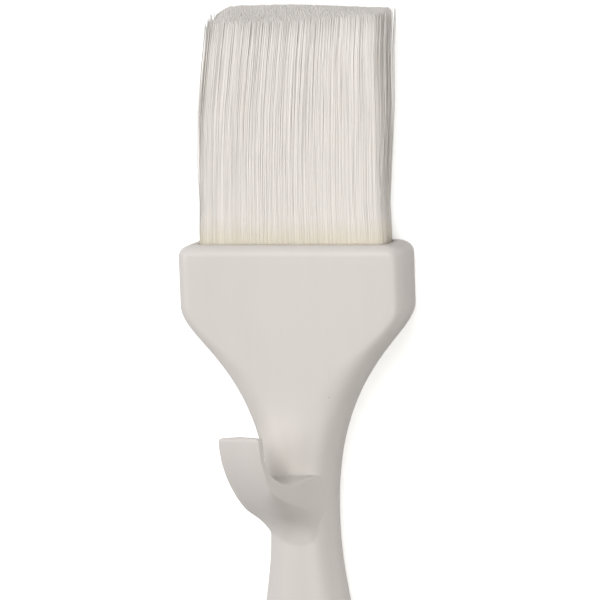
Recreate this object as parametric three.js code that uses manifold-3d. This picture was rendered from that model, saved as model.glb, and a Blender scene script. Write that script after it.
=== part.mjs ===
// Pastry brush with a bowl hook, lying on its back. Millimetres: X runs across the head, Y towards the bristle
// tips and Z up, out of the front face. The origin is on the surface that the brush lies on, under the middle of
// its length and width. A depth is measured along the handle, from the lip that the bristle leaves.
import * as THREE from "three";
import { mergeVertices } from "three/addons/utils/BufferGeometryUtils.js";
import Module from "manifold-3d";

// Bristle pack
const packWidth = 50.8;
const packThickness = 10;
const packCorner = 2.2;
const tuftCorner = 0.4;
const backTrim = 62; // bristle standing out of the lip, back row
const frontTrim = 58.5;
const columns = 10;
const tipLean = 4.2; // the tips lean this far towards +X
const leanPower = 2.2;
const clearance = 0.3; // gap kept between neighbouring pieces

// Head
const sideWall = 5.1;
const faceWall = 3.5;
const headCorner = 3.6;
const lipDrop = 3; // the lip's rounded edge: its height, and how far it reaches in on the sides and the faces
const lipSideInset = 4.2;
const lipFaceInset = 2.8;
const blockDepth = 16;
const pocketDepth = 22;
const resinHeight = 8;

// Neck and grip: depth, width and thickness of each station that the outline passes through
const waistDepth = 72.5;
const waistWidth = 18.5;
const waistThickness = 16.6;
const gripDepth = 108;
const gripWidth = 24.7;
const gripThickness = 17;
const tailDepth = 163;
const tailWidth = 17;
const tailThickness = 12;
const endLength = 12; // rounded end beyond the last station
const hangHole = 8;
const hangHoleFromEnd = 10.5;

// Hook: reach is measured from the neck's axis to the outer face at the tip
const hookYaw = 27.5; // degrees from the front towards -X
const hookReach = 24.2;
const hookTipDepth = 48.1;
const hookRootDepth = 81.8;
const hookArcRadius = 30;
const hookTipWidth = 14.7;
const hookRootWidth = 17.8;
const hookEdge = 1.6; // round of the outer face's edges, where the hook is thick enough for it
const hookInnerEdge = 0.7; // round of the gap's edges
const hookEdgeShare = 0.5; // most of half the thickness that an edge's round takes
const hookTipSlope = 0.09; // how much the tip's end climbs from its left corner to its right one
const hookRoundDepth = 66; // below this the outer face grows rounder, until it is one with the neck
const hookRoundSkew = 0.4; // how much lower that starts for each millimetre towards the hook's left side
const hookRoundLength = 12.4; // how far down it goes on
const gapRadius = 10.1; // the rounded gap that takes a bowl's rim
const gapDepth = 61.5; // its lowest point
const tipThickness = 1.9;
const arcRise = 0.25; // the outer arc's centre stands this far above the tip's top
const hookSink = 0.4; // the hook's foot lies this far inside the neck
const gapShelfAngle = -115; // degrees at which the rounded gap turns into the level shelf at the neck

const headWidth = packWidth + 2 * sideWall;
const headThickness = packThickness + 2 * faceWall;
const handleLength = tailDepth + endLength;
const lipY = (handleLength - backTrim) / 2;
const axisHeight = Math.max(headThickness, gripThickness) / 2;

const wasm = await Module();
wasm.setup();

const plastic = new THREE.MeshStandardMaterial({ color: 0xe4e0dc, roughness: 0.42, metalness: 0 });
const nylon = new THREE.MeshStandardMaterial({ color: 0xe2dfda, roughness: 0.55, metalness: 0 });
const resin = new THREE.MeshStandardMaterial({ color: 0xd9cfa0, roughness: 0.35, metalness: 0 });

function solidOf(geometry) {
  const bare = geometry.clone();
  bare.deleteAttribute("normal");
  bare.deleteAttribute("uv");
  const merged = mergeVertices(bare, 1e-4);
  return new wasm.Manifold(
    new wasm.Mesh({
      numProp: 3,
      vertProperties: merged.attributes.position.array,
      triVerts: new Uint32Array(merged.index.array),
    }),
  );
}

function geometryOf(solid) {
  const mesh = solid.getMesh();
  const geometry = new THREE.BufferGeometry();
  geometry.setAttribute("position", new THREE.BufferAttribute(mesh.vertProperties, 3));
  geometry.setIndex(new THREE.BufferAttribute(mesh.triVerts, 1));
  const flat = geometry.toNonIndexed();
  flat.computeVertexNormals();
  return flat;
}

function moveVertices(geometry, place) {
  const position = geometry.attributes.position;
  const point = new THREE.Vector3();
  for (let i = 0; i < position.count; i++) {
    point.fromBufferAttribute(position, i);
    place(point);
    position.setXYZ(i, point.x, point.y, point.z);
  }
  geometry.computeVertexNormals();
  return geometry;
}

// Rectangle in X and Y with its four corners rounded, each by its own radius: -X-Y, +X-Y, +X+Y, -X+Y.
function roundedRectangle(left, bottom, right, top, radii) {
  const shape = new THREE.Shape();
  const quarter = Math.PI / 2;
  const corners = [
    [left + radii[0], bottom + radii[0], 2 * quarter],
    [right - radii[1], bottom + radii[1], 3 * quarter],
    [right - radii[2], top - radii[2], 0],
    [left + radii[3], top - radii[3], quarter],
  ];
  corners.forEach(([x, y, start], i) => shape.absarc(x, y, radii[i], start, start + quarter, false));
  shape.closePath();
  return shape;
}

// Prism along Y, from an outline whose Y is turned to -Z.
function prismAlongY(outline, fromY, toY, steps, curveSegments) {
  const geometry = new THREE.ExtrudeGeometry(outline, {
    depth: toY - fromY,
    steps,
    bevelEnabled: false,
    curveSegments,
  });
  geometry.rotateX(-Math.PI / 2);
  geometry.translate(0, fromY, axisHeight);
  return geometry;
}

// A section is a ring across a part: its centre, its two directions, half its size along each, and how far each
// corner's round reaches along them.
const acrossHead = new THREE.Vector3(1, 0, 0);
const outOfFront = new THREE.Vector3(0, 0, 1);

// A section of the handle. A roundness of 0 is a rectangle with corners of headCorner, and 1 is a full ellipse.
function section(depth, width, thickness, roundness, sideInset = 0, faceInset = 0) {
  const across = width / 2 - sideInset;
  const up = thickness / 2 - faceInset;
  const corner = headCorner - faceInset;
  return {
    centre: new THREE.Vector3(0, lipY - depth, axisHeight),
    acrossAxis: acrossHead,
    upAxis: outOfFront,
    across,
    up,
    roundAcross: corner + roundness * (across - corner),
    roundUp: corner + roundness * (up - corner),
  };
}

// The sizes ease from one station to the next and leave both in line with the handle. The holds say how much of the
// span each station's own size lasts for.
function between(from, to, count) {
  const span = to.depth - from.depth;
  const run = new THREE.CubicBezierCurve(
    new THREE.Vector2(from.depth, 0),
    new THREE.Vector2(from.depth + from.holdAfter * span, 0),
    new THREE.Vector2(to.depth - to.holdBefore * span, 1),
    new THREE.Vector2(to.depth, 1),
  );
  const sections = [];
  for (let i = 1; i <= count; i++) {
    const { x: depth, y: share } = run.getPoint(i / count);
    const mix = (name, by = share) => from[name] + (to[name] - from[name]) * by;
    sections.push(section(depth, mix("width"), mix("thickness"), mix("roundness", share * share)));
  }
  return sections;
}

function lipSections(quarter, steps) {
  const sections = [];
  for (let i = 0; i <= steps; i++) {
    const turn = (quarter * i) / steps;
    const inset = 1 - Math.sin(turn);
    const depth = lipDrop * (1 - Math.cos(turn));
    sections.push(section(depth, headWidth, headThickness, 0, inset * lipSideInset, inset * lipFaceInset));
  }
  return sections;
}

// The rounded end stops short of a full quarter turn, at a small flat.
function endSections(quarter, steps) {
  const lastTurn = 0.9 * quarter;
  const sections = [];
  for (let i = 1; i <= steps; i++) {
    const turn = (lastTurn * i) / steps;
    const depth = tailDepth + (endLength * Math.sin(turn)) / Math.sin(lastTurn);
    sections.push(section(depth, tailWidth * Math.cos(turn), tailThickness * Math.cos(turn), 1));
  }
  return sections;
}

function handleSections() {
  const quarter = Math.PI / 2;
  const block = {
    depth: blockDepth,
    width: headWidth,
    thickness: headThickness,
    roundness: 0,
    holdAfter: 0.17,
  };
  const waist = {
    depth: waistDepth,
    width: waistWidth,
    thickness: waistThickness,
    roundness: 1,
    holdBefore: 0.725,
    holdAfter: 0.49,
  };
  const grip = {
    depth: gripDepth,
    width: gripWidth,
    thickness: gripThickness,
    roundness: 1,
    holdBefore: 0.39,
    holdAfter: 0.4,
  };
  const tail = {
    depth: tailDepth,
    width: tailWidth,
    thickness: tailThickness,
    roundness: 1,
    holdBefore: 0.33,
  };
  return [
    ...lipSections(quarter, 4),
    section(blockDepth, headWidth, headThickness, 0),
    ...between(block, waist, 16),
    ...between(waist, grip, 8),
    ...between(grip, tail, 8),
    ...endSections(quarter, 6),
  ];
}

// The outline of a ring: four rounded corners, and flatSteps more points along each of its two wide sides. The two
// corners below its middle may have a round of their own, lowerRound.
function ringOutline(ring, quarterSteps, flatSteps) {
  const step = Math.PI / 2 / quarterSteps;
  const reach = 1 / Math.cos(step / 2);
  const points = [];
  for (let quarter = 0; quarter < 4; quarter++) {
    for (let i = 0; i < quarterSteps; i++) {
      const turn = (quarter * quarterSteps + i + 0.5) * step;
      const across = Math.cos(turn);
      const up = Math.sin(turn);
      const lower = up < 0 ? ring.lowerRound : undefined;
      const roundAcross = lower ?? ring.roundAcross;
      const roundUp = lower ?? ring.roundUp;
      points.push([
        (ring.across - roundAcross) * Math.sign(across) + roundAcross * reach * across,
        (ring.up - roundUp) * Math.sign(up) + roundUp * reach * up,
      ]);
    }
    if (quarter % 2 === 1) continue;
    const [across, up] = points[points.length - 1];
    for (let i = 1; i <= flatSteps; i++) points.push([across * (1 - (2 * i) / (flatSteps + 1)), up]);
  }
  return points;
}

// A closed loft through the sections: a cylinder whose rings are moved onto them, first to last.
function loftGeometry(sections, quarterSteps, flatSteps = 0) {
  const outlines = sections.map((ring) => ringOutline(ring, quarterSteps, flatSteps));
  const around = outlines[0].length;
  const rows = sections.length - 1;
  const geometry = new THREE.CylinderGeometry(1, 1, 1, around, rows);
  return moveVertices(geometry, (point) => {
    const row = Math.round((0.5 - point.y) * rows);
    const isRim = Math.hypot(point.x, point.z) > 0.5;
    const share = Math.atan2(point.z, point.x) / (2 * Math.PI);
    const [across, up] = outlines[row][(Math.round(share * around) + around) % around];
    point.copy(sections[row].centre);
    if (!isRim) return;
    point.addScaledVector(sections[row].acrossAxis, across);
    point.addScaledVector(sections[row].upAxis, up);
  });
}

// Distance from the neck's axis to its surface at the waist, in the direction that the hook points.
function neckReach() {
  const yaw = THREE.MathUtils.degToRad(hookYaw);
  return 1 / Math.hypot(Math.sin(yaw) / (waistWidth / 2), Math.cos(yaw) / (waistThickness / 2));
}

// Points along an arc, without its first one.
function arcPoints(centre, radius, from, to, steps) {
  const points = [];
  for (let i = 1; i <= steps; i++) {
    const turn = from + ((to - from) * i) / steps;
    points.push(new THREE.Vector2(centre.x + radius * Math.cos(turn), centre.y + radius * Math.sin(turn)));
  }
  return points;
}

// The hook's two faces from its root to its tip: X away from the neck's axis and Y along the handle, 0 at the lip.
// The outer face leaves the neck through a hollow arc that runs into a full one. The inner face is the rounded gap.
function hookFaces() {
  const arcCentre = new THREE.Vector2(hookReach - hookArcRadius, arcRise - hookTipDepth);
  const footX = neckReach() - hookSink;
  const footDrop = hookRootDepth + arcCentre.y;
  const footGap = footX - arcCentre.x;
  const flareRadius = (footGap ** 2 + footDrop ** 2 - hookArcRadius ** 2) / (2 * (hookArcRadius - footGap));
  const flareCentre = new THREE.Vector2(footX + flareRadius, -hookRootDepth);
  const meet = Math.atan2(flareCentre.y - arcCentre.y, flareCentre.x - arcCentre.x);
  const tipTurn = Math.asin(-arcRise / hookArcRadius);
  const outer = [
    new THREE.Vector2(0, -hookRootDepth),
    new THREE.Vector2(footX, -hookRootDepth),
    ...arcPoints(flareCentre, flareRadius, Math.PI, Math.PI + meet, 5),
    ...arcPoints(arcCentre, hookArcRadius, meet, tipTurn, 7),
  ];
  const gapCentre = new THREE.Vector2(hookReach - tipThickness - gapRadius, gapRadius - gapDepth);
  const gapEnd = THREE.MathUtils.degToRad(gapShelfAngle);
  const shelfX = gapCentre.x + gapRadius * Math.cos(gapEnd);
  const shelfY = gapCentre.y + gapRadius * Math.sin(gapEnd);
  const inner = [
    new THREE.Vector2(0, shelfY),
    new THREE.Vector2(shelfX / 2, shelfY),
    new THREE.Vector2(shelfX, shelfY),
    ...arcPoints(gapCentre, gapRadius, gapEnd, 0, 10),
    new THREE.Vector2(gapCentre.x + gapRadius, -hookTipDepth),
  ];
  return { inner, outer };
}

function hookGeometry() {
  const { inner, outer } = hookFaces();
  const sections = inner.map((start, i) => {
    const half = outer[i].clone().sub(start).divideScalar(2);
    const roundest = hookEdgeShare * half.length();
    const round = Math.min(hookEdge, roundest);
    return {
      centre: new THREE.Vector3(start.x + half.x, start.y + half.y, 0),
      acrossAxis: new THREE.Vector3(0, 0, 1),
      upAxis: new THREE.Vector3(half.x, half.y, 0).normalize(),
      across: hookRootWidth / 2,
      up: half.length(),
      roundAcross: round,
      roundUp: round,
      lowerRound: Math.min(hookInnerEdge, roundest),
    };
  });
  const yaw = THREE.MathUtils.degToRad(hookYaw);
  const narrowing = (1 - hookTipWidth / hookRootWidth) / hookReach;
  const almost = 0.98; // keeps the root's corners off the neck's axis
  const geometry = moveVertices(loftGeometry(sections, 3, 5), (point) => {
    const side = Math.min(1, Math.abs(point.z) / (hookRootWidth / 2));
    const roundedFrom = -hookRoundDepth - hookRoundSkew * point.z;
    const share = THREE.MathUtils.smoothstep((roundedFrom - point.y) / hookRoundLength, 0, 1);
    const roundTo = Math.sqrt(1 - (almost * side) ** 2);
    const tipward = THREE.MathUtils.smoothstep(point.y, -gapDepth, -hookTipDepth);
    point.y -= hookTipSlope * tipward * point.z;
    point.z *= 1 - narrowing * point.x;
    point.x *= 1 - share * (1 - roundTo);
  });
  geometry.rotateY(-Math.PI / 2 - yaw);
  geometry.translate(0, lipY, axisHeight);
  return geometry;
}

function pocketGeometry() {
  const halfWidth = packWidth / 2 + clearance;
  const halfThickness = packThickness / 2 + clearance;
  const corners = Array(4).fill(packCorner + clearance);
  const outline = roundedRectangle(-halfWidth, -halfThickness, halfWidth, halfThickness, corners);
  const overcut = 1;
  return prismAlongY(outline, lipY - pocketDepth, lipY + overcut, 1, 4);
}

function hangHoleGeometry() {
  const bore = new THREE.CylinderGeometry(hangHole / 2, hangHole / 2, 2 * headThickness, 24);
  bore.rotateX(Math.PI / 2);
  bore.translate(0, lipY - handleLength + hangHoleFromEnd, axisHeight);
  return bore;
}

function makeHandle() {
  const body = solidOf(loftGeometry(handleSections(), 9));
  const hooked = body.add(solidOf(hookGeometry()));
  const open = hooked.subtract(solidOf(pocketGeometry())).subtract(solidOf(hangHoleGeometry()));
  const mesh = new THREE.Mesh(geometryOf(open), plastic);
  mesh.name = "handle";
  return mesh;
}

// The cured resin fills the pocket's floor, and the bristle's butt ends stand in line above it.
function makeResin() {
  const corners = Array(4).fill(packCorner);
  const outline = roundedRectangle(
    -packWidth / 2,
    -packThickness / 2,
    packWidth / 2,
    packThickness / 2,
    corners,
  );
  const floorY = lipY - pocketDepth + clearance;
  const mesh = new THREE.Mesh(prismAlongY(outline, floorY, floorY + resinHeight, 1, 4), resin);
  mesh.name = "resin_setting";
  return mesh;
}

// One tuft, straight in the pocket and leaning more and more towards its tip.
function makeTuft(row, column) {
  const isFront = row === "front";
  const pitch = packWidth / columns;
  const left = -packWidth / 2 + column * pitch + clearance / 2;
  const right = left + pitch - clearance;
  const near = clearance / 2;
  const far = packThickness / 2;
  const leftCorner = column === 0 ? packCorner : tuftCorner;
  const rightCorner = column === columns - 1 ? packCorner : tuftCorner;
  const outline = isFront
    ? roundedRectangle(left, -far, right, -near, [leftCorner, rightCorner, tuftCorner, tuftCorner])
    : roundedRectangle(left, near, right, far, [tuftCorner, tuftCorner, rightCorner, leftCorner]);
  const trim = isFront ? frontTrim : backTrim;
  const buttY = lipY - pocketDepth + resinHeight + 2 * clearance;
  const geometry = moveVertices(prismAlongY(outline, buttY, lipY + trim, 7, 1), (point) => {
    const free = Math.max(0, point.y - lipY) / backTrim;
    point.x += tipLean * free ** leanPower;
  });
  const mesh = new THREE.Mesh(geometry, nylon);
  mesh.name = "bristle_" + row + "_" + String(column + 1).padStart(2, "0");
  return mesh;
}

const brush = new THREE.Group();
const bristle = new THREE.Group();
for (const row of ["front", "back"])
  for (let column = 0; column < columns; column++) bristle.add(makeTuft(row, column));
brush.add(makeHandle(), makeResin(), bristle);

export default brush;
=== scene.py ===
"""A white pastry brush on its back: a moulded handle with a bowl hook, and a flat pack of filaments."""
import math
import random

import bmesh
import bpy
from mathutils import Matrix, Vector, kdtree, noise
from mathutils.bvhtree import BVHTree


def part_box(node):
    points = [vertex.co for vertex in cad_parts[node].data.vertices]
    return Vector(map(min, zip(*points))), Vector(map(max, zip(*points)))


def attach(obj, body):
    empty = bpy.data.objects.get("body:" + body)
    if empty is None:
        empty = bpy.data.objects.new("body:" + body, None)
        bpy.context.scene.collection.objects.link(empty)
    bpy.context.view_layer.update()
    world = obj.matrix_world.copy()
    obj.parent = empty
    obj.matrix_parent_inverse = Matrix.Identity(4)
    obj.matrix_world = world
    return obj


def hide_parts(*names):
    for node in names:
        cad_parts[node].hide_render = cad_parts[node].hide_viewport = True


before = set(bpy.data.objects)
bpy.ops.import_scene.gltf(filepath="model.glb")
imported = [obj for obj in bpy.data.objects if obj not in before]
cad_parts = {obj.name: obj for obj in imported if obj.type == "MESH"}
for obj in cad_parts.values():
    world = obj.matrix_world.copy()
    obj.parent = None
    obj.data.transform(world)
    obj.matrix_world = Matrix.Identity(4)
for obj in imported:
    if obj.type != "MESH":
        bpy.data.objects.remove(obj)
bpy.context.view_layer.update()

# Sizes are in millimetres, and a mesh is scaled to metres when it is finished. X runs across the head, Y
# towards the tips and Z up, out of the front face. A depth is measured back from the lip that the filaments
# leave.
MM = 0.001
QUARTER = math.pi / 2


def box_of(node):
    """A node's lowest and highest corners, in millimetres."""
    low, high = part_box(node)
    return low / MM, high / MM


handle_low, handle_high = box_of("handle")
pack_low, pack_high = box_of("resin_setting")
lip_y = handle_high.y
axis_z = (pack_low.z + pack_high.z) / 2
pack_width = pack_high.x - pack_low.x
pack_thickness = pack_high.z - pack_low.z
CLEARANCE = 0.3

# Head
FACE_WALL = 3.5  # from the pack to a face of the head
HEAD_WIDTH = handle_high.x - handle_low.x
HEAD_THICKNESS = pack_thickness + 2 * FACE_WALL
HEAD_CORNER = 3.6
LIP_DROP = 3
LIP_SIDE_INSET = 4.2
LIP_FACE_INSET = 2.8
BLOCK_DEPTH = 16
POCKET_DEPTH = 22
POCKET_CORNER = 2.5
FLOOR_BEVEL = 0.4
MOUTH_BEVEL_DEPTH, MOUTH_BEVEL = 0.3, 0.25

# Neck, grip and tail: depth, width, thickness and how much of each span keeps that size, before and after
BLOCK = (BLOCK_DEPTH, HEAD_WIDTH, HEAD_THICKNESS, 0, 0.17)
WAIST = (72.5, 18.5, 16.6, 0.725, 0.49)
GRIP = (108, 24.7, 17, 0.39, 0.4)
END_LENGTH = 12
TAIL = (handle_high.y - handle_low.y - END_LENGTH, 17, 12, 0.33, 0)
HANG_HOLE = 8
HANG_HOLE_FROM_END = 10.5
HANG_HOLE_ROUND = 1.4
HANG_HOLE_SINK = 0.6  # the hole's rounded rims end this far below the tail's crown

# Hook: its reach is measured from the neck's axis to the outer face at the tip
HOOK_YAW = math.radians(27.5)  # from the front towards -X
HOOK_REACH = 24.2
HOOK_TIP_DEPTH = 48.1
HOOK_ROOT_DEPTH = 81.8
HOOK_ARC_RADIUS = 30
HOOK_TIP_WIDTH = 14.7
HOOK_ROOT_WIDTH = 17.8
HOOK_EDGE = 1.6  # round of the outer face's edges, where the hook is thick enough for it
HOOK_INNER_EDGE = 0.7  # round of the gap's edges
HOOK_EDGE_SHARE = 0.5  # most of half the thickness that an edge's round takes
HOOK_TIP_SLOPE = 0.09  # how much the tip's end climbs from its left corner to its right one
HOOK_ROUND_DEPTH = 66  # below this the outer face grows rounder, until it is one with the neck
HOOK_ROUND_SKEW = 0.4  # how much lower that starts for each millimetre towards the hook's left side
HOOK_ROUND_LENGTH = 12.4  # how far down it goes on
HOOK_ROUND_SHARE = 0.98  # just short of a full round, so that the hook's sides keep some thickness
HOOK_PARTS = 13  # the arcs and flats of both faces begin and end on one of these parts of the hook
GAP_RADIUS = 10.1
GAP_DEPTH = 61.5  # the gap's lowest point
TIP_THICKNESS = 1.9
ARC_RISE = 0.25  # the outer arc's centre stands this far above the tip's top
HOOK_SINK = 0.4  # the hook's foot lies this far inside the neck
GAP_SHELF_ANGLE = math.radians(-115)  # where the rounded gap turns into the level shelf at the neck
TIP_CORNER = 1.6
JOINT_REACH = 0.4  # how far from the hook's seam on the neck the corner is softened

# Filaments
COLUMNS = 10
ROWS = ("back", "front")
PACK_CORNER = 2.2
BUTT_DEPTH = 13.4
FREE_TRIM = 62  # longest free length, at the back
RIGHT_TRIM_DROP = 1.3  # how much shorter the back is on the right
LEFT_SLOPE, RIGHT_SLOPE = 4.1, 1.3  # how much shorter the front is than the back
CORNER_DROP, CORNER_REACH = 1.7, 5  # how much the left corner is rounded off, and from how far in
LEAN = 4.2  # how far the tips lean to the right
LEAN_POWER = 2.2
LIP_NARROWING = 0.5  # how far each side of the pack moves in just above the lip
TIP_NARROWING, TIP_NARROWING_SKEW = 1.7, 0.7  # how far it moves in at the tips, more so on the right
SPLAY = 0.3  # how far each face of the pack moves out
FILAMENT_PITCH = 0.2
FILAMENT_RADIUS = 0.115
FILAMENT_SIDES = 4
STATIONS = (-1, 0, 0.06, 0.18, 0.38, 0.6, 0.82, 1)  # shares of the free length, and -1 is the butt
BUNDLE_STEP = 4  # spacing of the straight filaments, before each one takes its place

# How one filament differs from the next
ROOT_JITTER_X, ROOT_JITTER_Z = 0.03, 0.02
CUT_SPREAD = 0.32
SHORT_CHANCE, SHORT_BY = 0.07, (0.5, 3)  # a few are shorter still
DRIFT_X, DRIFT_Z = 0.09, 0.03
WILD_CHANCE, WILD_X, WILD_Z = 0.015, 0.6, 0.25  # a few drift further
EDGE_FROM = 0.92  # the pack's edge starts at this share of its half width
STRAY_CHANCE, STRAY_REACH, STRAY_POWER = 0.5, 2.6, 2.5  # at the edge, some stand off the pack's side
STRAY_THIN, STRAY_GIRTH = 0.4, 0.55  # one that stands off further than this is thinner
GIRTHS = (0.85, 1.15)
CLUMP, CLUMP_Z = 0.14, 0.3  # neighbours move together, and less so in Z
SWAY = 0.05
SHADES = (0.8, 1)
# Painted shade: filaments at the pack's left and right edges get a darker colour, more so on the left
LEFT_EDGE_PAINTED_SHADE, RIGHT_EDGE_PAINTED_SHADE = 0.6, 0.1  # how much darker the pack's edges are


def mix(first, second, share):
    return first + (second - first) * share


def smoothstep(value, start=0.0, end=1.0):
    share = min(1, max(0, (value - start) / (end - start)))
    return share * share * (3 - 2 * share)


# --------------------------------------------------------------------------------------------------
# Camera, light and floor
# --------------------------------------------------------------------------------------------------
def add_camera():
    """Looks down on the front, from a little to the right and past the tips, with the grip out of view."""
    yaw, lift, roll = math.radians(16.5), math.radians(8), math.radians(2.09)
    distance = 900
    width_seen = 155.7
    aim = Vector((2.86, lip_y - 14.2, 16))
    back = Vector((math.sin(yaw) * math.cos(lift), math.sin(lift), math.cos(yaw) * math.cos(lift)))
    right = Vector((math.cos(yaw), 0, -math.sin(yaw)))
    turned = Matrix((right, back.cross(right), back)).transposed() @ Matrix.Rotation(-roll, 3, "Z")
    data = bpy.data.cameras.new("camera")
    data.sensor_width = 36
    data.lens = data.sensor_width * distance / width_seen
    camera = bpy.data.objects.new("camera", data)
    camera.matrix_world = Matrix.Translation((aim + back * distance) * MM) @ turned.to_4x4()
    bpy.context.scene.collection.objects.link(camera)
    bpy.context.scene.camera = camera


SOFTBOX_SIZE = 0.7
SOFTBOXES = (  # name, place in metres, watts and colour
    ("key_light", (0, 0.65, 1.13), 8.4, (1, 0.995, 0.99)),
    ("left_light", (-0.98, 0.26, 0.82), 6.2, (1, 0.99, 0.98)),
    ("right_light", (0.52, -0.26, 1.16), 5.6, (1, 0.965, 0.9)),
)


def add_softbox(name, place, watts, colour):
    """A square soft light that faces the brush."""
    data = bpy.data.lights.new(name, "AREA")
    data.energy = watts
    data.color = colour
    data.size = SOFTBOX_SIZE
    light = bpy.data.objects.new(name, data)
    light.location = place
    light.rotation_euler = (-Vector(place)).to_track_quat("-Z", "Y").to_euler()
    bpy.context.scene.collection.objects.link(light)


def add_light():
    world = bpy.data.worlds.new("studio")
    world.use_nodes = True
    sky = world.node_tree.nodes["Background"]
    sky.inputs["Color"].default_value = (1.0, 0.995, 0.985, 1)
    sky.inputs["Strength"].default_value = 0.03
    bpy.context.scene.world = world
    for softbox in SOFTBOXES:
        add_softbox(*softbox)
    bpy.context.scene.view_settings.view_transform = "Standard"


# --------------------------------------------------------------------------------------------------
# Materials
# --------------------------------------------------------------------------------------------------
class Signal:
    """A socket of a material, on which Python's operators add Math nodes."""

    def __init__(self, paint, socket):
        self.paint = paint
        self.socket = socket

    def math(self, operation, *values):
        return self.paint.node("ShaderNodeMath", {"operation": operation}, dict(enumerate(values)))

    def __add__(self, other):
        return self.math("ADD", self, other)

    def __sub__(self, other):
        return self.math("SUBTRACT", self, other)

    def __mul__(self, other):
        return self.math("MULTIPLY", self, other)

    def __truediv__(self, other):
        return self.math("DIVIDE", self, other)

    def __rsub__(self, other):
        return self.math("SUBTRACT", other, self)

    __radd__ = __add__
    __rmul__ = __mul__

    def step(self, start, end):
        """0 before start, 1 past end and smooth between them."""
        return self.paint.node(
            "ShaderNodeMapRange",
            {"interpolation_type": "SMOOTHSTEP"},
            {"Value": self, "From Min": start, "From Max": end},
        )


class Paint:
    """One material and its nodes."""

    def __init__(self, name):
        self.material = bpy.data.materials.new(name)
        self.material.use_nodes = True
        self.nodes = self.material.node_tree.nodes
        self.links = self.material.node_tree.links
        self.nodes.clear()

    def node(self, kind, settings, inputs, output=0):
        """Adds a node with its settings and its sockets' values or links. Gives one of its outputs."""
        made = self.nodes.new(kind)
        for name, value in settings.items():
            setattr(made, name, value)
        for name, value in inputs.items():
            if isinstance(value, Signal):
                self.links.new(value.socket, made.inputs[name])
            else:
                made.inputs[name].default_value = value
        return Signal(self, made.outputs[output])

    def place(self):
        return self.node("ShaderNodeTexCoord", {}, {}, "Object")

    def along(self, axis):
        """The place along one axis, in millimetres."""
        apart = self.node("ShaderNodeSeparateXYZ", {}, {"Vector": self.place()}, axis)
        return apart / MM

    def stretched(self, size):
        """Object coordinates in units of the given size, in millimetres along each axis."""
        scale = [1 / (MM * s) for s in size]
        return self.node("ShaderNodeMapping", {}, {"Vector": self.place(), "Scale": scale})

    def noise(self, size, detail):
        """Soft clouds of about the given size. More detail adds finer ones."""
        return self.node(
            "ShaderNodeTexNoise", {}, {"Vector": self.stretched(size), "Scale": 1.0, "Detail": detail}
        )

    def cells(self, size):
        """Distance to the nearest of some scattered points, in cells of the given size."""
        return self.node(
            "ShaderNodeTexVoronoi", {}, {"Vector": self.stretched(size), "Scale": 1.0}, "Distance"
        )

    def blend(self, share, first, second):
        """A colour part of the way from the first to the second."""
        return self.node("ShaderNodeMix", {"data_type": "RGBA"}, {0: share, 6: first, 7: second}, 2)

    def bump(self, height, depth):
        """A normal from a height, where a height of 1 stands that many millimetres proud."""
        return self.node("ShaderNodeBump", {}, {"Height": height, "Distance": depth * MM, "Strength": 1.0})

    def finish(self, **sockets):
        """The surface itself, with underscores in the names for spaces."""
        named = {name.replace("_", " "): value for name, value in sockets.items()}
        surface = self.node("ShaderNodeBsdfPrincipled", {}, named, "BSDF")
        output = self.nodes.new("ShaderNodeOutputMaterial")
        self.links.new(surface.socket, output.inputs["Surface"])
        return self.material


def moulded_plastic():
    """Warm white satin plastic: slow drifts of tone, flow lines along the brush, specks and fine scuffs."""
    paint = Paint("moulded_plastic")
    drift = paint.noise((30, 45, 30), 3)
    flow = paint.noise((5, 70, 5), 2)
    grain = paint.noise((0.9, 0.9, 0.9), 2)
    tone = drift * 0.7 + flow * 0.3
    pale = paint.blend(tone.step(0.3, 0.7), (0.722, 0.688, 0.662, 1), (0.752, 0.72, 0.694, 1))
    scratches = paint.noise((0.35, 5, 0.35), 3).step(0.66, 0.72)
    worn = paint.noise((14, 22, 14), 2).step(0.5, 0.62)
    scuff = scratches * worn
    scuffed = paint.blend(scuff * 0.35, pale, (0.62, 0.59, 0.55, 1))
    speck = 1 - paint.cells((9, 9, 9)).step(0.012, 0.026)
    colour = paint.blend(speck * 0.5, scuffed, (0.36, 0.33, 0.29, 1))
    roughness = 0.33 + drift * 0.1 + grain * 0.06 + scuff * 0.2
    height = grain * 0.35 + paint.noise((3.5, 3.5, 3.5), 2) * 0.5 + scuff * -0.5
    return paint.finish(Base_Color=colour, Roughness=roughness, Normal=paint.bump(height, 0.012))


def cast_resin():
    """Honey-coloured set resin with a cloudy body and a glossy, slightly rippled skin."""
    paint = Paint("cast_resin")
    cloud = paint.noise((6, 6, 6), 3)
    colour = paint.blend(cloud.step(0.35, 0.65), (0.62, 0.53, 0.27, 1), (0.72, 0.65, 0.4, 1))
    ripple = paint.noise((1.6, 1.6, 1.6), 2)
    return paint.finish(Base_Color=colour, Roughness=0.22 + cloud * 0.15, Normal=paint.bump(ripple, 0.15))


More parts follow.
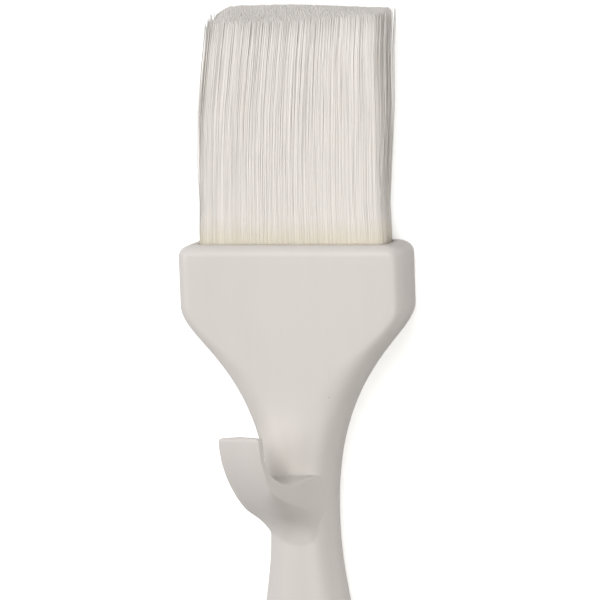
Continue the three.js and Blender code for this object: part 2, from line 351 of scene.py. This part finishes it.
def white_nylon():
    """White nylon: each filament has its own tone, with painted shade on those at the pack's edges; a painted
    highlight makes the cut ends, which face the key light, paler; and resin stains it near the lip.
    """
    paint = Paint("white_nylon")
    # The tone attribute holds each filament's own random tone, darkened by painted shade at the pack's edges
    tone = paint.node("ShaderNodeAttribute", {"attribute_name": "tone"}, {}, "Fac")
    clear = paint.blend(tone, (0.62, 0.59, 0.555, 1), (0.935, 0.905, 0.875, 1))
    cloud = paint.noise((1.4, 14, 2.5), 3)
    streaked = paint.blend(cloud.step(0.6, 0.8) * 0.3, clear, (0.74, 0.73, 0.7, 1))
    creep = 3 + paint.noise((2.6, 60, 2.6), 3) * 9
    stained = 1 - ((paint.along(1) - lip_y) / creep).step(0.0, 1)
    base = paint.blend(stained * 0.6, streaked, (0.78, 0.725, 0.58, 1))
    # Painted highlight: faces that point along +Y, the filaments' cut ends, face the key light and are made
    # paler
    facing = paint.node("ShaderNodeTexCoord", {}, {}, "Normal")
    painted_end_highlight = paint.node("ShaderNodeSeparateXYZ", {}, {"Vector": facing}, 1).step(0.6, 0.95)
    colour = paint.blend(painted_end_highlight * 0.5, base, (0.9, 0.9, 0.85, 1))
    return paint.finish(
        Base_Color=colour,
        Roughness=0.42 + tone * 0.16,
        Normal=paint.bump(paint.noise((0.3, 1.2, 0.3), 2), 0.02),
    )


def pale_floor():
    """A white floor that glows a little to the camera only, so that shadows on it stay faint."""
    paint = Paint("pale_floor")
    cloud = paint.noise((180, 180, 180), 2)
    colour = paint.blend(cloud, (0.93, 0.93, 0.93, 1), (0.96, 0.96, 0.96, 1))
    seen = paint.node("ShaderNodeLightPath", {}, {}, "Is Camera Ray")
    return paint.finish(
        Base_Color=colour,
        Roughness=0.85,
        Emission_Color=paint.blend(seen, (0, 0, 0, 1), (1, 1, 1, 1)),
        Emission_Strength=0.5,
    )


# --------------------------------------------------------------------------------------------------
# Handle
# --------------------------------------------------------------------------------------------------
def finish_mesh(bm, name, material):
    """Makes a smooth piece in metres from a mesh in millimetres, which is used up."""
    bmesh.ops.scale(bm, vec=Vector((MM, MM, MM)), verts=bm.verts)
    for face in bm.faces:
        face.smooth = True
    mesh = bpy.data.meshes.new(name)
    bm.to_mesh(mesh)
    bm.free()
    mesh.materials.append(material)
    piece = bpy.data.objects.new(name, mesh)
    bpy.context.scene.collection.objects.link(piece)
    return piece


def quarter_outline(width, thickness, round_width, round_thickness, steps):
    """Points from the middle of a side to the middle of a face, spread by length and by how far the outline
    turns. All sizes are halves."""
    bends = 24
    route = [(width, 0)]
    for i in range(bends + 1):
        turn = QUARTER * i / bends
        route.append(
            (width - round_width * (1 - math.cos(turn)), thickness - round_thickness * (1 - math.sin(turn)))
        )
    route.append((0, thickness))
    lengths = [math.dist(a, b) for a, b in zip(route, route[1:])]
    total = max(sum(lengths), 1e-9)
    travelled = [0]
    for i, length in enumerate(lengths):
        turned = 1 / bends if 0 < i <= bends else 0
        travelled.append(travelled[-1] + 0.5 * length / total + 0.5 * turned)
    points = []
    leg = 0
    for i in range(steps + 1):
        wanted = travelled[-1] * i / steps
        while leg < len(lengths) - 1 and travelled[leg + 1] < wanted:
            leg += 1
        share = (wanted - travelled[leg]) / max(travelled[leg + 1] - travelled[leg], 1e-12)
        points.append(tuple(mix(a, b, min(1, share)) for a, b in zip(route[leg], route[leg + 1])))
    return points


def outline(width, thickness, round_width, round_thickness, count, lower_round=None):
    """A whole ring of points round a rectangle with rounded corners, from halves of its sizes. The two
    corners below may have a round of their own."""
    steps = count // 4
    upper = lower = quarter_outline(width, thickness, round_width, round_thickness, steps)
    if lower_round is not None:
        lower = quarter_outline(width, thickness, lower_round, lower_round, steps)
    return (
        upper[:-1]
        + [(-x, z) for x, z in upper[:0:-1]]
        + [(-x, -z) for x, z in lower[:-1]]
        + [(x, -z) for x, z in lower[:0:-1]]
    )


def skin(rings):
    """A closed skin through rings that have the same number of points. An end ring of no size is a pole."""
    around = len(rings[0])
    rows = len(rings) - 1
    bm = bmesh.new()
    bmesh.ops.create_grid(bm, x_segments=around, y_segments=rows, size=0.5)
    for vert in bm.verts:
        turn = round((vert.co.x + 0.5) * around) % around
        vert.co = rings[round((vert.co.y + 0.5) * rows)][turn]
    bmesh.ops.remove_doubles(bm, verts=bm.verts, dist=1e-5)
    bmesh.ops.recalc_face_normals(bm, faces=bm.faces)
    return bm


def handle_ring(depth, width, thickness, round_width, round_thickness, count):
    shape = outline(width, thickness, round_width, round_thickness, count)
    return [Vector((x, lip_y - depth, axis_z + z)) for x, z in shape]


def section(depth, width, thickness, roundness, side_inset=0.0, face_inset=0.0):
    """Depth, then halves of the sizes. A roundness of 0 gives the head's corners, and 1 an ellipse."""
    across = width / 2 - side_inset
    up = thickness / 2 - face_inset
    corner = HEAD_CORNER - face_inset
    return depth, across, up, mix(corner, across, roundness), mix(corner, up, roundness)


def bezier(a, b, c, d, share):
    rest = 1 - share
    return rest**3 * a + 3 * rest * rest * share * b + 3 * rest * share * share * c + share**3 * d


def between(start, end, roundness, count):
    """Sections that ease from one station's size to the next one's, in line with the handle at both."""
    span = end[0] - start[0]
    sections = []
    for i in range(1, count + 1):
        at = i / count
        depth = bezier(start[0], start[0] + start[4] * span, end[0] - end[3] * span, end[0], at)
        share = at * at * (3 - 2 * at)
        width, thickness = mix(start[1], end[1], share), mix(start[2], end[2], share)
        sections.append(section(depth, width, thickness, mix(*roundness, share * share)))
    return sections


def handle_sections():
    """From the pocket's floor out to the lip, then along the outside to the rounded end."""
    pocket_width = pack_width / 2 + CLEARANCE
    pocket_thickness = pack_thickness / 2 + CLEARANCE
    sections = [(POCKET_DEPTH, 0, 0, 0, 0)]
    pocket_wall = (
        (POCKET_DEPTH, -FLOOR_BEVEL),
        (POCKET_DEPTH - FLOOR_BEVEL, 0),
        (POCKET_DEPTH / 2, 0),
        (MOUTH_BEVEL_DEPTH, 0),
        (0, MOUTH_BEVEL),
    )
    for depth, grown in pocket_wall:
        corner = POCKET_CORNER + grown
        sections.append((depth, pocket_width + grown, pocket_thickness + grown, corner, corner))
    for i in range(13):
        turn = QUARTER * i / 12
        inset = 1 - math.sin(turn)
        drop = LIP_DROP * (1 - math.cos(turn))
        sections.append(
            section(drop, HEAD_WIDTH, HEAD_THICKNESS, 0, inset * LIP_SIDE_INSET, inset * LIP_FACE_INSET)
        )
    for i in range(1, 6):
        sections.append(section(mix(LIP_DROP, BLOCK_DEPTH, i / 5), HEAD_WIDTH, HEAD_THICKNESS, 0))
    sections += between(BLOCK, WAIST, (0, 1), 72)
    sections += between(WAIST, GRIP, (1, 1), 36)
    sections += between(GRIP, TAIL, (1, 1), 40)
    for i in range(1, 17):
        turn = QUARTER * i / 16
        left = math.cos(turn) if i < 16 else 0
        depth = TAIL[0] + END_LENGTH * math.sin(turn)
        sections.append(section(depth, TAIL[1] * left, TAIL[2] * left, 1))
    return sections


def arc(centre, radius, start, end, share):
    turn = mix(start, end, share)
    return centre + Vector((math.cos(turn), math.sin(turn))) * radius


def hook_faces():
    """Gives two functions of how far along the hook a point is, from 0 at its root to 1 at its tip: a point
    of its outer face and a point of its inner one. X is measured from the neck's axis and Y from the lip."""
    neck = 1 / math.hypot(math.sin(HOOK_YAW) / (WAIST[1] / 2), math.cos(HOOK_YAW) / (WAIST[2] / 2))
    foot = neck - HOOK_SINK
    centre = Vector((HOOK_REACH - HOOK_ARC_RADIUS, ARC_RISE - HOOK_TIP_DEPTH))
    drop = HOOK_ROOT_DEPTH + centre.y
    gap = foot - centre.x
    flare = (gap**2 + drop**2 - HOOK_ARC_RADIUS**2) / (2 * (HOOK_ARC_RADIUS - gap))
    flare_centre = Vector((foot + flare, -HOOK_ROOT_DEPTH))
    meet = math.atan2(flare_centre.y - centre.y, flare_centre.x - centre.x)
    tip_turn = math.asin(-ARC_RISE / HOOK_ARC_RADIUS)
    gap_centre = Vector((HOOK_REACH - TIP_THICKNESS - GAP_RADIUS, GAP_RADIUS - GAP_DEPTH))
    shelf = arc(gap_centre, GAP_RADIUS, GAP_SHELF_ANGLE, GAP_SHELF_ANGLE, 0)
    # Where each face passes from one of its arcs or flats to the next
    root_end, flare_end = 1 / HOOK_PARTS, 6 / HOOK_PARTS
    shelf_end, gap_end = 2 / HOOK_PARTS, 12 / HOOK_PARTS

    def outer(at):
        if at <= root_end:
            return Vector((foot * at / root_end, -HOOK_ROOT_DEPTH))
        if at <= flare_end:
            share = (at - root_end) / (flare_end - root_end)
            return arc(flare_centre, flare, math.pi, math.pi + meet, share)
        return arc(centre, HOOK_ARC_RADIUS, meet, tip_turn, (at - flare_end) / (1 - flare_end))

    def inner(at):
        if at <= shelf_end:
            return Vector((shelf.x * at / shelf_end, shelf.y))
        if at <= gap_end:
            share = (at - shelf_end) / (gap_end - shelf_end)
            return arc(gap_centre, GAP_RADIUS, GAP_SHELF_ANGLE, 0, share)
        side = gap_centre + Vector((GAP_RADIUS, 0))
        top = Vector((side.x, -HOOK_TIP_DEPTH))
        return side + (top - side) * ((at - gap_end) / (1 - gap_end))

    return outer, inner


def hook_skin():
    """The hook by itself, with its root inside the neck."""
    outer, inner = hook_faces()
    rows, around = 7 * HOOK_PARTS, 88
    turned = Matrix.Rotation(-QUARTER - HOOK_YAW, 3, "Y")
    origin = Vector((0, lip_y, axis_z))
    rings = []
    for row in range(rows + 1):
        at = row / rows
        start, end = inner(at), outer(at)
        middle, half = (start + end) / 2, (end - start) / 2
        rise = half.normalized()
        left = -HOOK_TIP_DEPTH - middle.y
        corner = 1 - min(1, max(0, left / TIP_CORNER))
        edge = 1 - min(1, max(0, left / (TIP_THICKNESS / 2)))
        across = HOOK_ROOT_WIDTH / 2 - TIP_CORNER * (1 - math.sqrt(1 - corner * corner))
        up = half.length * (math.sqrt(1 - edge * edge) if edge < 1 else 0)
        roundest = HOOK_EDGE_SHARE * up
        round_by, inner_round = min(HOOK_EDGE, roundest), min(HOOK_INNER_EDGE, roundest)
        if edge >= 1:
            across = round_by = inner_round = 0
        ring = []
        for side, height in outline(across, up, round_by, round_by, around, inner_round):
            point = Vector((middle.x + rise.x * height, middle.y + rise.y * height, side))
            rounded_from = -HOOK_ROUND_DEPTH - HOOK_ROUND_SKEW * side
            share = smoothstep((rounded_from - point.y) / HOOK_ROUND_LENGTH)
            beside = min(1, abs(side) / (HOOK_ROOT_WIDTH / 2))
            point.z *= 1 - (1 - HOOK_TIP_WIDTH / HOOK_ROOT_WIDTH) / HOOK_REACH * point.x
            point.x *= 1 - share * (1 - math.sqrt(1 - (HOOK_ROUND_SHARE * beside) ** 2))
            point.y -= HOOK_TIP_SLOPE * smoothstep(point.y, -GAP_DEPTH, -HOOK_TIP_DEPTH) * point.z
            ring.append(turned @ point + origin)
        rings.append(ring)
    first = sum(rings[0], Vector()) / around
    return skin([[first] * around] + rings)


def bore_cutter():
    """A waisted plug that cuts the hanging hole and rounds its rims."""
    radius = HANG_HOLE / 2
    widest = radius + HANG_HOLE_ROUND
    surface = TAIL[2] / 2 - HANG_HOLE_SINK
    bm = bmesh.new()
    rim = []
    for i in range(9):
        turn = QUARTER * i / 8
        rim.append(
            (
                radius + HANG_HOLE_ROUND * (1 - math.cos(turn)),
                surface - HANG_HOLE_ROUND * (1 - math.sin(turn)),
            )
        )
    profile = [(0, -HEAD_THICKNESS), (widest, -HEAD_THICKNESS)]
    profile += [(r, -z) for r, z in reversed(rim)]
    profile += rim
    profile += [(widest, HEAD_THICKNESS), (0, HEAD_THICKNESS)]
    place = Vector((0, lip_y - TAIL[0] - END_LENGTH + HANG_HOLE_FROM_END, axis_z))
    verts = [bm.verts.new(place + Vector((r, 0, z))) for r, z in profile]
    edges = [bm.edges.new(pair) for pair in zip(verts, verts[1:])]
    bmesh.ops.spin(
        bm, geom=verts + edges, cent=place, axis=(0, 0, 1), angle=math.tau, steps=64, use_merge=True
    )
    bmesh.ops.remove_doubles(bm, verts=bm.verts, dist=1e-5)
    bmesh.ops.recalc_face_normals(bm, faces=bm.faces)
    return bm


def scratch_piece(bm, name):
    mesh = bpy.data.meshes.new(name)
    bm.to_mesh(mesh)
    piece = bpy.data.objects.new(name, mesh)
    bpy.context.scene.collection.objects.link(piece)
    return piece


def combined(base, other, operation):
    """The two meshes joined or cut, as a new one. Both of them stay as they are."""
    first, second = scratch_piece(base, "first"), scratch_piece(other, "second")
    tool = first.modifiers.new("join", "BOOLEAN")
    tool.operation = operation
    tool.solver = "EXACT"
    tool.object = second
    done = first.evaluated_get(bpy.context.evaluated_depsgraph_get()).to_mesh()
    bm = bmesh.new()
    bm.from_mesh(done)
    for piece in (first, second):
        mesh = piece.data
        bpy.data.objects.remove(piece)
        bpy.data.meshes.remove(mesh)
    return bm


def soften_joint(bm, first, second, reach):
    """Rounds the corner where two surfaces of a joined mesh meet: the seam is a line of points on both."""
    touching = 0.004
    trees = (BVHTree.FromBMesh(first), BVHTree.FromBMesh(second))
    line = [v.co.copy() for v in bm.verts if all(tree.find_nearest(v.co)[3] < touching for tree in trees)]
    seam = kdtree.KDTree(len(line))
    for i, place in enumerate(line):
        seam.insert(place, i)
    seam.balance()

    def near(within):
        return [v for v in bm.verts if seam.find(v.co)[2] < within]

    close = set(near(2 * reach))
    faces = [f for f in bm.faces if any(v in close for v in f.verts)]
    bmesh.ops.triangulate(bm, faces=faces)
    for fine in (0.8, 0.4):
        close = set(near(1.5 * reach))
        inside = [e for e in bm.edges if e.verts[0] in close and e.verts[1] in close]
        long_edges = [e for e in inside if e.calc_length() > fine]
        bmesh.ops.subdivide_edges(bm, edges=long_edges, cuts=1)
        bmesh.ops.triangulate(bm, faces=[f for f in bm.faces if len(f.verts) > 4])
    for share in (1.0, 1.0, 0.8, 0.8, 0.6, 0.6):
        bmesh.ops.smooth_vert(
            bm, verts=near(share * reach), factor=0.5, use_axis_x=True, use_axis_y=True, use_axis_z=True
        )


def make_handle(material):
    body = skin([handle_ring(*one, 144) for one in handle_sections()])
    hook = hook_skin()
    whole = combined(body, hook, "UNION")
    soften_joint(whole, body, hook, JOINT_REACH)
    body.free()
    hook.free()
    cutter = bore_cutter()
    bored = combined(whole, cutter, "DIFFERENCE")
    whole.free()
    cutter.free()
    piece = finish_mesh(bored, "moulded_handle", material)
    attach(piece, "root")
    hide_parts("handle")


# --------------------------------------------------------------------------------------------------
# Filaments
# --------------------------------------------------------------------------------------------------
def pack_centre():
    """The pack's middle across X, and across Z as its second number."""
    return Vector(((pack_low.x + pack_high.x) / 2, axis_z))


def inside_pack(x, z):
    """Whether a point lies in the rounded rectangle that the filaments fill."""
    dx = abs(x - pack_centre().x) - (pack_width / 2 - PACK_CORNER)
    dz = abs(z - pack_centre().y) - (pack_thickness / 2 - PACK_CORNER)
    return math.hypot(max(0, dx), max(0, dz)) < PACK_CORNER - FILAMENT_RADIUS


def roots_by_tuft(chance):
    """Places of the filaments in the pack, in staggered rows, sorted into the tufts that they belong to."""
    tufts = {(row, column): [] for row in ROWS for column in range(COLUMNS)}
    row_pitch = FILAMENT_PITCH * math.sqrt(3) / 2
    for j in range(int(pack_thickness / row_pitch)):
        for i in range(int(pack_width / FILAMENT_PITCH)):
            x = pack_low.x + (i + 0.5 + 0.5 * (j % 2)) * FILAMENT_PITCH
            x += chance.uniform(-ROOT_JITTER_X, ROOT_JITTER_X)
            z = pack_low.z + (j + 0.5) * row_pitch + chance.uniform(-ROOT_JITTER_Z, ROOT_JITTER_Z)
            if not inside_pack(x, z):
                continue
            column = min(COLUMNS - 1, int((x - pack_low.x) / pack_width * COLUMNS))
            row = ROWS[1] if z > axis_z else ROWS[0]
            tufts[row, column].append((x, z))
    return tufts


def trim_at(x, z, chance):
    """Free length of a filament: the cut slopes down to the front, and more so on the left."""
    across = (x - pack_low.x) / pack_width
    front = (z - pack_low.z) / pack_thickness
    right = smoothstep(across, 0.35, 1)
    back_trim = FREE_TRIM - RIGHT_TRIM_DROP * right
    front_trim = back_trim - mix(LEFT_SLOPE, RIGHT_SLOPE, right)
    trim = mix(back_trim, front_trim, front)
    from_left = x - pack_low.x
    trim -= CORNER_DROP * max(0, 1 - from_left / CORNER_REACH) ** 2
    trim -= abs(chance.gauss(0, CUT_SPREAD))
    if chance.random() < SHORT_CHANCE:
        trim -= chance.uniform(*SHORT_BY)
    return trim


def filament_path(x, z, trim, chance):
    """Gives the path of the filament with its root at x and z, as a function of the share of its free
    length, and its girth, where 1 is the usual one."""
    centre = pack_centre()
    side = (x - centre.x) / (pack_width / 2)
    face = (z - centre.y) / (pack_thickness / 2)
    drift_x = chance.gauss(0, DRIFT_X)
    drift_z = chance.gauss(0, DRIFT_Z)
    wave = chance.uniform(0, math.tau)
    stray = 0
    if chance.random() < STRAY_CHANCE * smoothstep(abs(side), EDGE_FROM, 1):
        stray = math.copysign(STRAY_REACH * chance.random() ** STRAY_POWER, side)
    if chance.random() < WILD_CHANCE:
        drift_x += chance.gauss(0, WILD_X)
        drift_z += math.copysign(abs(chance.gauss(0, WILD_Z)), face)

    def path(share):
        free = max(0, share)
        rise = free * trim
        swell = smoothstep(free, 0, 0.3)
        clump = noise.noise(Vector((x * 0.5, z * 0.35, free * 1.6))) * CLUMP * swell
        lean = LEAN * (rise / FREE_TRIM) ** LEAN_POWER
        tip_narrowing = (TIP_NARROWING + TIP_NARROWING_SKEW * side) * smoothstep(free, 0.45, 1)
        narrowing = LIP_NARROWING * swell + tip_narrowing
        sway = SWAY * math.sin(wave + 7 * free) * swell
        return Vector(
            (
                x + lean - narrowing * side + stray * smoothstep(free, -0.1, 0.8) * swell
                + drift_x * free**1.5 + clump + sway,
                lip_y + (rise if share >= 0 else share * BUTT_DEPTH),
                z + SPLAY * face * swell + drift_z * free**1.5 + CLUMP_Z * clump,
            )
        )

    return path, STRAY_GIRTH if abs(stray) > STRAY_THIN else chance.uniform(*GIRTHS)


def straight_bundle(count):
    """That many straight filaments side by side, each of unit radius with its rings 1 apart along Y."""
    rings = len(STATIONS) - 1
    bm = bmesh.new()
    bmesh.ops.create_cone(bm, cap_ends=True, segments=FILAMENT_SIDES, radius1=1, radius2=1, depth=rings)
    bmesh.ops.rotate(bm, verts=bm.verts, cent=(0, 0, 0), matrix=Matrix.Rotation(-QUARTER, 3, "X"))
    bmesh.ops.translate(bm, verts=bm.verts, vec=(0, rings / 2, 0))
    lengthwise = [e for e in bm.edges if abs(e.verts[0].co.y - e.verts[1].co.y) > 0.5]
    bmesh.ops.subdivide_edges(bm, edges=lengthwise, cuts=rings - 1)
    bmesh.ops.recalc_face_normals(bm, faces=bm.faces)
    made = 1
    while made < count:
        copy = bmesh.ops.duplicate(bm, geom=bm.verts[:] + bm.edges[:] + bm.faces[:])["geom"]
        moved = [item for item in copy if isinstance(item, bmesh.types.BMVert)]
        bmesh.ops.translate(bm, verts=moved, vec=(BUNDLE_STEP * made, 0, 0))
        made *= 2
    spare = [v for v in bm.verts if v.co.x > BUNDLE_STEP * (count - 0.5)]
    bmesh.ops.delete(bm, geom=spare, context="VERTS")
    return bm


def make_tuft(row, column, roots, material, chance):
    """One tuft: straight filaments, each with a cell of the UV map, moved onto their own paths."""
    bm = straight_bundle(len(roots))
    uv_rows = math.ceil(math.sqrt(len(roots) / 4))
    per_row = math.ceil(len(roots) / uv_rows)
    rings = len(STATIONS) - 1
    uv = bm.loops.layers.uv.new("OFBake")
    tone = bm.verts.layers.float.new("tone")
    # A cell keeps a margin, also beside a face that runs on past a full turn
    for face in bm.faces:
        index = round(face.calc_center_median().x / BUNDLE_STEP)
        cell_x, cell_y = index % per_row, index // per_row
        angles = [math.atan2(v.co.z, v.co.x - BUNDLE_STEP * index) for v in face.verts]
        turns = [round((angle / math.tau % 1) * 8) / 8 for angle in angles]
        wraps = max(turns) - min(turns) > 0.5
        for loop, turn in zip(face.loops, turns):
            if wraps and turn < 0.5:
                turn += 1
            along = loop.vert.co.y / rings
            loop[uv].uv = ((cell_x + 0.1 + 0.72 * turn) / per_row, (cell_y + 0.03 + 0.94 * along) / uv_rows)
    paths = []
    for x, z in roots:
        trim = trim_at(x, z, chance)
        side = (x - pack_centre().x) / (pack_width / 2)
        # Each filament's tone is random, and painted shade darkens it at the pack's edges
        left_edge, right_edge = smoothstep(-side, EDGE_FROM, 1), smoothstep(side, EDGE_FROM, 1)
        shade = chance.uniform(*SHADES) * (1 - LEFT_EDGE_PAINTED_SHADE * left_edge - RIGHT_EDGE_PAINTED_SHADE * right_edge)
        path, girth = filament_path(x, z, trim, chance)
        paths.append((path, shade, girth))
    stations = {}
    for vert in bm.verts:
        index = round(vert.co.x / BUNDLE_STEP)
        ring = round(vert.co.y)
        path, shade, girth = paths[index]
        if (index, ring) not in stations:
            stations[index, ring] = path(STATIONS[ring])
        offset = Vector((vert.co.x - BUNDLE_STEP * index, 0, vert.co.z)) * FILAMENT_RADIUS * girth
        vert.co = stations[index, ring] + offset
        vert[tone] = shade
    piece = finish_mesh(bm, f"filaments_{row}_{column + 1:02d}", material)
    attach(piece, "root")
    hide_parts(f"bristle_{row}_{column + 1:02d}")


def make_filaments(material):
    chance = random.Random(7)
    for (row, column), roots in roots_by_tuft(chance).items():
        make_tuft(row, column, roots, material, chance)


# --------------------------------------------------------------------------------------------------
# Everything
# --------------------------------------------------------------------------------------------------
def make_floor():
    bm = bmesh.new()
    bmesh.ops.create_circle(bm, cap_ends=True, segments=96, radius=4000)
    floor = finish_mesh(bm, "floor", pale_floor())


def finish_resin():
    """The set resin in the pocket keeps its own shape, and takes its finish."""
    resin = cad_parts["resin_setting"]
    resin.data.materials.clear()
    resin.data.materials.append(cast_resin())


add_camera()
add_light()
make_floor()
make_handle(moulded_plastic())
finish_resin()
make_filaments(white_nylon())
